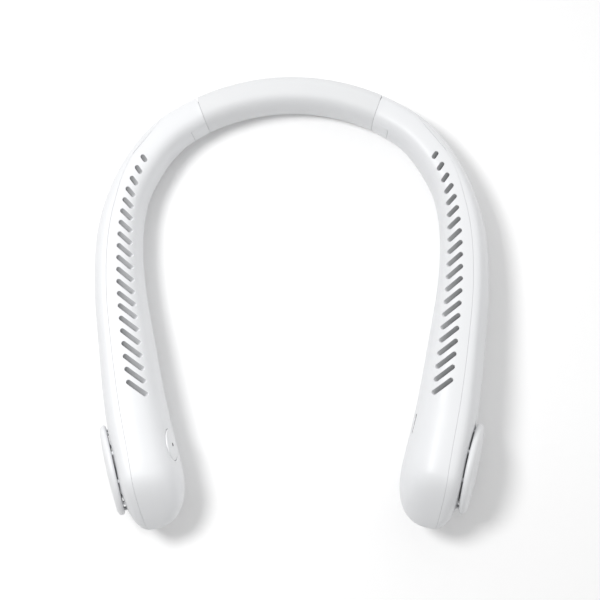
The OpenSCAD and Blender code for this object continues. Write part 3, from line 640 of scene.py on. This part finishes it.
def makeBand():
    dense = np.linspace(0, 360, 1441)
    lengths = np.linalg.norm(np.diff(bandPoint(0, dense), axis=0), axis=1)
    run = np.concatenate([[0], np.cumsum(lengths)])
    count = band["around"]
    around = np.interp(np.arange(count) / count * run[-1], run, dense)
    inverse = np.array(hingeFrame.inverted())
    end = band["end"] - band["edgeRound"]
    ends = halve(lambda b: (bandPoint(b, around) @ inverse[:3, :3].T + inverse[:3, 3])[:, 0] - end,
                 band["leastBearing"], band["mostBearing"], count)
    bearing = np.linspace(-1, 1, band["rings"])[:, None] * ends[None, :]
    angle = np.broadcast_to(around, bearing.shape)
    points = bandPoint(bearing, angle)
    normals = np.cross(bandPoint(bearing + 0.02, angle) - bandPoint(bearing - 0.02, angle),
                       bandPoint(bearing, angle + 0.1) - bandPoint(bearing, angle - 0.1))
    normals /= np.linalg.norm(normals, axis=-1, keepdims=True)
    if (normals[0, 0] * (points[0, 0] - points[0, count // 2])).sum() < 0:
        normals = -normals
    faces = []
    for start in range(0, (band["rings"] - 1) * count, count):
        for j in range(count):
            k = (j + 1) % count
            faces.append([start + j, start + count + j, start + count + k, start + k])
    points, normals = points.reshape(-1, 3), normals.reshape(-1, 3)
    a, b, c = (points[faces[0][k]] for k in range(3))
    if np.dot(np.cross(b - a, c - a), normals[faces[0][0]]) < 0:
        faces = [face[::-1] for face in faces]
    rounds = np.full(len(points), band["edgeRound"])
    return closeSkin("neck_band_skin", points, normals, faces, rounds, points - normals * band["wall"], 1)


casings["band"] = makeBand()
print("stage: band")


def selectOnly(piece):
    bpy.ops.object.select_all(action="DESELECT")
    piece.select_set(True)
    bpy.context.view_layer.objects.active = piece


def spinProfile(name, profile, steps):
    # turns a line of (radius, height) points about z, as by hand with Spin
    points = [(r, 0, z) for r, z in profile]
    piece = newPiece(name, points, [(k, k + 1) for k in range(len(points) - 1)], [])
    selectOnly(piece)
    bpy.ops.object.mode_set(mode="EDIT")
    bpy.ops.mesh.select_all(action="SELECT")
    bpy.ops.mesh.spin(steps=steps, angle=2 * math.pi, center=(0, 0, 0), axis=(0, 0, 1))
    bpy.ops.mesh.select_all(action="SELECT")
    bpy.ops.mesh.remove_doubles(threshold=1e-4)
    bpy.ops.mesh.normals_make_consistent(inside=False)
    bpy.ops.object.mode_set(mode="OBJECT")
    return piece


def settle(piece, place, side):
    # sets a piece modelled about the origin in millimetres at its place in metres
    piece.data.transform(Matrix.Scale(mm, 4) @ sideways[side] @ place)
    if side < 0:
        piece.data.flip_normals()
    selectOnly(piece)
    bpy.ops.object.shade_smooth_by_angle(angle=math.radians(40))
    return piece


# Round covers over the intakes. A ring of posts joins each cover to its casing
cover = {"radius": 20.7, "thickness": 4, "dome": 1, "rim": 1.2, "shoulder": 3.2, "posts": 9,
         "postStart": 156, "postRing": 18.2, "postRadius": 0.9, "postReach": 3, "postSunk": 0.3}


def coverProfile():
    r, t, rim = cover["radius"], cover["thickness"], cover["rim"]
    line = [(0, t)]
    line += [(x, t - cover["dome"] * (x / r) ** 2) for x in np.linspace(2, r - cover["shoulder"], 10)]
    # the shoulder rolls over to the rim in a quarter of an ellipse
    startX, startZ = line[-1]
    for a in np.radians(np.linspace(12, 90, 8)):
        line.append((startX + (r - startX) * math.sin(a), rim + (startZ - rim) * math.cos(a)))
    for a in np.radians(np.linspace(15, 90, 6)):
        line.append((r - rim + rim * math.cos(a), rim - rim * math.sin(a)))
    line.append((0, 0))
    return line


def makeCover(name, side):
    disk = spinProfile(name, coverProfile(), steps=128)
    pieces = [disk]
    ring, reach, sunk = cover["postRing"], cover["postReach"], cover["postSunk"]
    for k in range(cover["posts"]):
        a = math.radians(cover["postStart"] + 360 / cover["posts"] * k)
        bpy.ops.mesh.primitive_cylinder_add(
            vertices=28, radius=cover["postRadius"], depth=reach + sunk,
            location=(ring * math.cos(a), ring * math.sin(a), (sunk - reach) / 2))
        pieces.append(bpy.context.object)
        bpy.ops.object.transform_apply(location=True, rotation=True, scale=True)
    bpy.ops.object.select_all(action="DESELECT")
    for piece in pieces:
        piece.select_set(True)
    bpy.context.view_layer.objects.active = disk
    bpy.ops.object.join()
    return settle(disk, coverFrame, side)


covers = {side: makeCover(name + "_fan_cover", side) for side, name in bothSides}
print("stage: fan covers")


def makeButton():
    face = buttonShape["face"] - buttonShape["proud"]
    r, dome, soft = buttonShape["radius"], buttonShape["dome"], buttonShape["soft"]
    back, flange = buttonShape["flangeZ"], buttonShape["flange"]
    line = [(x, face + depth) for x, depth in buttonShape["dish"]]
    line += [(x, face + dome - math.sqrt(dome**2 - x**2))
             for x in np.linspace(buttonShape["domeStart"], r - soft, 9)]
    startX, startZ = line[-1]
    for a in np.radians(np.linspace(18, 90, 5)):
        line.append((startX + soft * math.sin(a), startZ + soft * (1 - math.cos(a))))
    line += [(r, back), (r + flange, back), (r + flange, back + flange), (0, back + flange)]
    return settle(spinProfile("round_button", line, steps=96), buttonFrame, -1)


def makeLens():
    line = [(x, buttonShape["lensFront"] + depth) for x, depth in buttonShape["lens"]]
    return settle(spinProfile("button_light", line, steps=40), buttonFrame, -1)


button = makeButton()
buttonLight = makeLens()
print("stage: button")


def makePort():
    # a drawn metal shell with rounded ends, and the tongue inside it
    front, back, lip = portShape["face"] + portShape["recess"], portShape["back"], portShape["lip"]
    outline = uprightBar(portHalf, portRadius, step=1.4, arc=10)
    inside = uprightBar(portHalf, portRadius - portShape["wall"], step=1.4, arc=10)
    count = len(outline)
    floorZ = back - portShape["floor"]
    levels = [(outline, back), (outline, front + lip), (outline * 0.985, front), (inside * 1.02, front),
              (inside, front + lip), (inside, floorZ)]
    points = [(x, y, z) for ring, z in levels for x, y in ring]
    faces = []
    for start in range(0, (len(levels) - 1) * count, count):
        for j in range(count):
            k = (j + 1) % count
            faces.append([start + j, start + k, start + count + k, start + count + j])
    faces += [list(range(count))[::-1], [(len(levels) - 1) * count + j for j in range(count)]]
    shell = newPiece("charging_port", points, [], faces)
    selectOnly(shell)
    bpy.ops.object.mode_set(mode="EDIT")
    bpy.ops.mesh.select_all(action="SELECT")
    bpy.ops.mesh.normals_make_consistent(inside=False)
    bpy.ops.object.mode_set(mode="OBJECT")
    tongueZ = floorZ + portShape["tongueSunk"] - portShape["tongue"][2] / 2
    bpy.ops.mesh.primitive_cube_add(size=1, location=(0, 0, tongueZ))
    tongue = bpy.context.object
    tongue.name = "port_tongue"
    tongue.dimensions = portShape["tongue"]
    bpy.ops.object.transform_apply(location=True, rotation=True, scale=True)
    bevel = tongue.modifiers.new("edges", "BEVEL")
    bevel.width = portShape["tongueRound"]
    bevel.segments = 2
    bpy.ops.object.modifier_apply(modifier="edges")
    return settle(shell, portFrame, 1), settle(tongue, portFrame, 1)


port, portTongue = makePort()
print("stage: charging port")


# Finishes: each is a Principled shader with its pattern in Object coordinates
def newFinish(name, colour, roughness, **sockets):
    material = bpy.data.materials.new(name)
    material.use_nodes = True
    nodes, links = material.node_tree.nodes, material.node_tree.links
    shader = nodes["Principled BSDF"]
    shader.inputs["Base Color"].default_value = (*colour, 1)
    shader.inputs["Roughness"].default_value = roughness
    for socket, value in sockets.items():
        shader.inputs[socket.replace("_", " ")].default_value = value
    where = nodes.new("ShaderNodeTexCoord")
    return material, nodes, links, shader, where


def noiseNode(nodes, links, where, scale, detail, stretch=(1, 1, 1)):
    mapping = nodes.new("ShaderNodeMapping")
    mapping.inputs["Scale"].default_value = stretch
    links.new(where.outputs["Object"], mapping.inputs["Vector"])
    noise = nodes.new("ShaderNodeTexNoise")
    noise.inputs["Scale"].default_value = scale
    noise.inputs["Detail"].default_value = detail
    links.new(mapping.outputs["Vector"], noise.inputs["Vector"])
    return noise


noiseLow, noiseHigh = 0.3, 0.7


def addTint(nodes, links, noise, shader, light, dark):
    ramp = nodes.new("ShaderNodeValToRGB")
    for stop, place, colour in zip(ramp.color_ramp.elements, (noiseLow, noiseHigh), (dark, light)):
        stop.position = place
        stop.color = (*colour, 1)
    links.new(noise.outputs["Fac"], ramp.inputs["Fac"])
    links.new(ramp.outputs["Color"], shader.inputs["Base Color"])


def addRoughness(nodes, links, noise, shader, low, high):
    spread = nodes.new("ShaderNodeMapRange")
    spread.inputs["From Min"].default_value = noiseLow
    spread.inputs["From Max"].default_value = noiseHigh
    spread.inputs["To Min"].default_value = low
    spread.inputs["To Max"].default_value = high
    links.new(noise.outputs["Fac"], spread.inputs["Value"])
    links.new(spread.outputs["Result"], shader.inputs["Roughness"])


def addGrain(nodes, links, noise, shader, strength, depth):
    bump = nodes.new("ShaderNodeBump")
    bump.inputs["Strength"].default_value = strength
    bump.inputs["Distance"].default_value = depth
    links.new(noise.outputs["Fac"], bump.inputs["Height"])
    links.new(bump.outputs["Normal"], shader.inputs["Normal"])


def mouldedFinish(name, light, dark, roughness, grain, depth, strength=0.25, **sockets):
    # plastic, rubber or lacquer: a faint change of tone, uneven gloss, and a grain of this scale and depth
    material, nodes, links, shader, where = newFinish(name, light, roughness[0], **sockets)
    addTint(nodes, links, noiseNode(nodes, links, where, scale=45, detail=3), shader, light, dark)
    addRoughness(nodes, links, noiseNode(nodes, links, where, scale=140, detail=4), shader, *roughness)
    addGrain(nodes, links, noiseNode(nodes, links, where, grain, detail=2), shader, strength, depth)
    return material


def metalFinish(name, light, dark, roughness, stretch=(1, 1, 12)):
    # metal whose marks are closest together along the axis with the largest stretch
    material, nodes, links, shader, where = newFinish(name, light, roughness[0], Metallic=1.0)
    addTint(nodes, links, noiseNode(nodes, links, where, scale=300, detail=3), shader, light, dark)
    streaks = noiseNode(nodes, links, where, scale=900, detail=3, stretch=stretch)
    addRoughness(nodes, links, streaks, shader, *roughness)
    addGrain(nodes, links, streaks, shader, strength=0.2, depth=0.00003)
    return material


finishes = {
    "casing": mouldedFinish("satin white casing", (0.765, 0.773, 0.786), (0.752, 0.76, 0.774), (0.4, 0.48),
                            grain=2600, depth=0.00002, strength=0.2),
    "cover": mouldedFinish("white cover", (0.765, 0.773, 0.784), (0.753, 0.76, 0.772), (0.34, 0.42),
                           grain=2600, depth=0.00002),
    "band": mouldedFinish("soft band", (0.71, 0.717, 0.727), (0.698, 0.705, 0.715), (0.5, 0.6),
                          grain=1900, depth=0.00004, strength=0.3, Sheen_Weight=0.15, Sheen_Roughness=0.4),
    "button": mouldedFinish("white button", (0.765, 0.772, 0.784), (0.755, 0.762, 0.774), (0.36, 0.44),
                            grain=2600, depth=0.00002),
    "inner": mouldedFinish("inner white plastic", (0.74, 0.75, 0.76), (0.7, 0.71, 0.72), (0.4, 0.5),
                           grain=1600, depth=0.00004),
    "black": mouldedFinish("black plastic", (0.025, 0.025, 0.027), (0.017, 0.017, 0.019), (0.4, 0.5),
                           grain=1800, depth=0.00003),
    "grey": mouldedFinish("grey plastic", (0.16, 0.16, 0.17), (0.13, 0.13, 0.14), (0.42, 0.52),
                          grain=1700, depth=0.00004),
    "lens": mouldedFinish("smoked lens", (0.06, 0.065, 0.07), (0.045, 0.05, 0.055), (0.2, 0.28),
                          grain=900, depth=0.00001, strength=0.1, Coat_Weight=0.2, Coat_Roughness=0.1),
    "rubber": mouldedFinish("cable jacket", (0.05, 0.05, 0.052), (0.035, 0.035, 0.037), (0.6, 0.72),
                            grain=1500, depth=0.00006),
    "wrap": mouldedFinish("battery wrap", (0.06, 0.16, 0.42), (0.05, 0.13, 0.36), (0.22, 0.3),
                          grain=500, depth=0.00005, Coat_Weight=0.4, Coat_Roughness=0.1),
    "board": mouldedFinish("circuit board", (0.03, 0.17, 0.07), (0.02, 0.12, 0.05), (0.32, 0.45),
                           grain=700, depth=0.00005, Coat_Weight=0.3, Coat_Roughness=0.15),
    "steel": metalFinish("polished steel", (0.62, 0.62, 0.63), (0.56, 0.56, 0.57), (0.2, 0.32)),
    "spring": metalFinish("spring steel", (0.42, 0.43, 0.45), (0.34, 0.35, 0.38), (0.28, 0.42), (12, 1, 1)),
    "copper": metalFinish("copper winding", (0.78, 0.36, 0.17), (0.62, 0.26, 0.11), (0.25, 0.4), (1, 1, 30)),
    "bronze": metalFinish("sintered bronze", (0.6, 0.42, 0.2), (0.46, 0.31, 0.14), (0.42, 0.6), (1, 1, 1)),
    "magnet": metalFinish("ferrite magnet", (0.12, 0.12, 0.13), (0.08, 0.08, 0.09), (0.45, 0.6), (1, 1, 1)),
    "drawn": metalFinish("drawn steel shell", (0.3, 0.3, 0.31), (0.25, 0.25, 0.26), (0.42, 0.54),
                         (1, 1, 10)),
}
print("stage: finishes")

nodeFinishes = {
    "band_spring": "spring", "band_cable": "rubber", "charge_board": "board", "control_board": "board",
    "button_switch": "black", "neck_band": "band", "power_button": "button", "usb_c_socket": "drawn",
}
sideFinishes = {
    "band_end": "grey", "hinge_pin": "steel", "hinge_bracket": "grey", "hinge_screws": "steel",
    "air_guide": "inner", "battery": "wrap", "fan_scroll": "inner", "motor_base": "grey",
    "motor_screws": "steel", "motor_board": "board", "motor_stator": "copper", "motor_bearing": "bronze",
    "motor_shaft": "steel", "rotor_magnet": "magnet", "impeller": "inner", "inner_shell": "casing",
    "outer_shell": "casing", "hinge_cover": "casing", "intake_cover": "cover",
}
for side, name in bothSides:
    for part, finish in sideFinishes.items():
        nodeFinishes[name + "_" + part] = finish
for node, finish in nodeFinishes.items():
    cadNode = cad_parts[node]
    if not cadNode.material_slots:
        cadNode.data.materials.append(finishes[finish])
    for materialSlot in cadNode.material_slots:
        materialSlot.material = finishes[finish]


def dress(piece, finish, body, node=None):
    # gives a new piece its finish and its body, and puts it in the place of a CAD node
    piece.data.materials.clear()
    piece.data.materials.append(finishes[finish])
    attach(piece, body)
    if node:
        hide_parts(node)


for side, name in bothSides:
    for key, node in (("Inner", "_inner_shell"), ("Outer", "_outer_shell"), ("Hinge", "_hinge_cover")):
        dress(casings[name + key], "casing", name + "_arm", name + node)
    dress(covers[side], "cover", name + "_arm", name + "_intake_cover")
dress(casings["band"], "band", "band", "neck_band")
dress(button, "button", "button", "power_button")
dress(buttonLight, "lens", "button")
dress(port, "drawn", "right_arm", "usb_c_socket")
dress(portTongue, "black", "right_arm")
print("stage: pieces ride on their bodies")

# Floor, sky and key light, in metres. The sky is brighter towards the way that skyTowards points
studio = {"floorSize": 8, "floorDrop": 0.0002, "floorLight": (0.975, 0.975, 0.975),
          "floorDark": (0.965, 0.965, 0.965), "skyEven": 0.7, "skyTowards": (0.16, 0.32, -0.1),
          "skyLeast": 0.05, "keyPower": 2.4, "keyPlace": (-0.22, 0.09, 0.62), "keySize": 0.16}
bpy.ops.mesh.primitive_plane_add(size=studio["floorSize"], location=(0, 0, -studio["floorDrop"]))
floor = bpy.context.object
floor.name = "floor"
bpy.ops.object.transform_apply(location=True, rotation=True, scale=True)
paper, paperNodes, paperLinks, paperShader, paperWhere = newFinish("paper floor", (0.95, 0.95, 0.95), 0.9)
paperNoise = noiseNode(paperNodes, paperLinks, paperWhere, scale=8, detail=2)
addTint(paperNodes, paperLinks, paperNoise, paperShader, studio["floorLight"], studio["floorDark"])
floor.data.materials.append(paper)

world = bpy.data.worlds.new("studio")
world.use_nodes = True
skyNodes, skyLinks = world.node_tree.nodes, world.node_tree.links
skyWhere = skyNodes.new("ShaderNodeTexCoord")
skyTilt = skyNodes.new("ShaderNodeVectorMath")
skyTilt.operation = "DOT_PRODUCT"
skyTilt.inputs[1].default_value = studio["skyTowards"]
skyLevel = skyNodes.new("ShaderNodeMath")
skyLevel.inputs[1].default_value = studio["skyEven"]
skyFloor = skyNodes.new("ShaderNodeMath")
skyFloor.operation = "MAXIMUM"
skyFloor.inputs[1].default_value = studio["skyLeast"]
skyLinks.new(skyWhere.outputs["Generated"], skyTilt.inputs[0])
skyLinks.new(skyTilt.outputs["Value"], skyLevel.inputs[0])
skyLinks.new(skyLevel.outputs["Value"], skyFloor.inputs[0])
skyLinks.new(skyFloor.outputs["Value"], skyNodes["Background"].inputs["Strength"])
skyNodes["Background"].inputs["Color"].default_value = (1, 1, 1, 1)
bpy.context.scene.world = world
bpy.context.scene.view_settings.view_transform = "Standard"

bpy.ops.object.light_add(type="AREA", location=studio["keyPlace"])
keyLight = bpy.context.object
keyLight.name = "key light"
keyLight.data.shape = "DISK"
keyLight.data.size = studio["keySize"]
keyLight.data.energy = studio["keyPower"]
keyLight.rotation_euler = (-Vector(studio["keyPlace"])).to_track_quat("-Z", "Y").to_euler()

# The camera looks almost straight down. Its turn is in degrees about x, y and z
cameraView = {"place": (0.02, -0.04615, 0.616), "turn": (4.3987, 1.5377, -0.3491), "lens": 78, "sensor": 36,
              "near": 0.01, "far": 50}
cameraData = bpy.data.cameras.new("camera")
cameraData.lens = cameraView["lens"]
cameraData.sensor_width = cameraView["sensor"]
cameraData.clip_start = cameraView["near"]
cameraData.clip_end = cameraView["far"]
camera = bpy.data.objects.new("camera", cameraData)
cameraTurn = Euler([math.radians(degrees) for degrees in cameraView["turn"]])
camera.matrix_world = Matrix.Translation(cameraView["place"]) @ cameraTurn.to_matrix().to_4x4()
bpy.context.scene.collection.objects.link(camera)
bpy.context.scene.camera = camera
print("stage: studio")
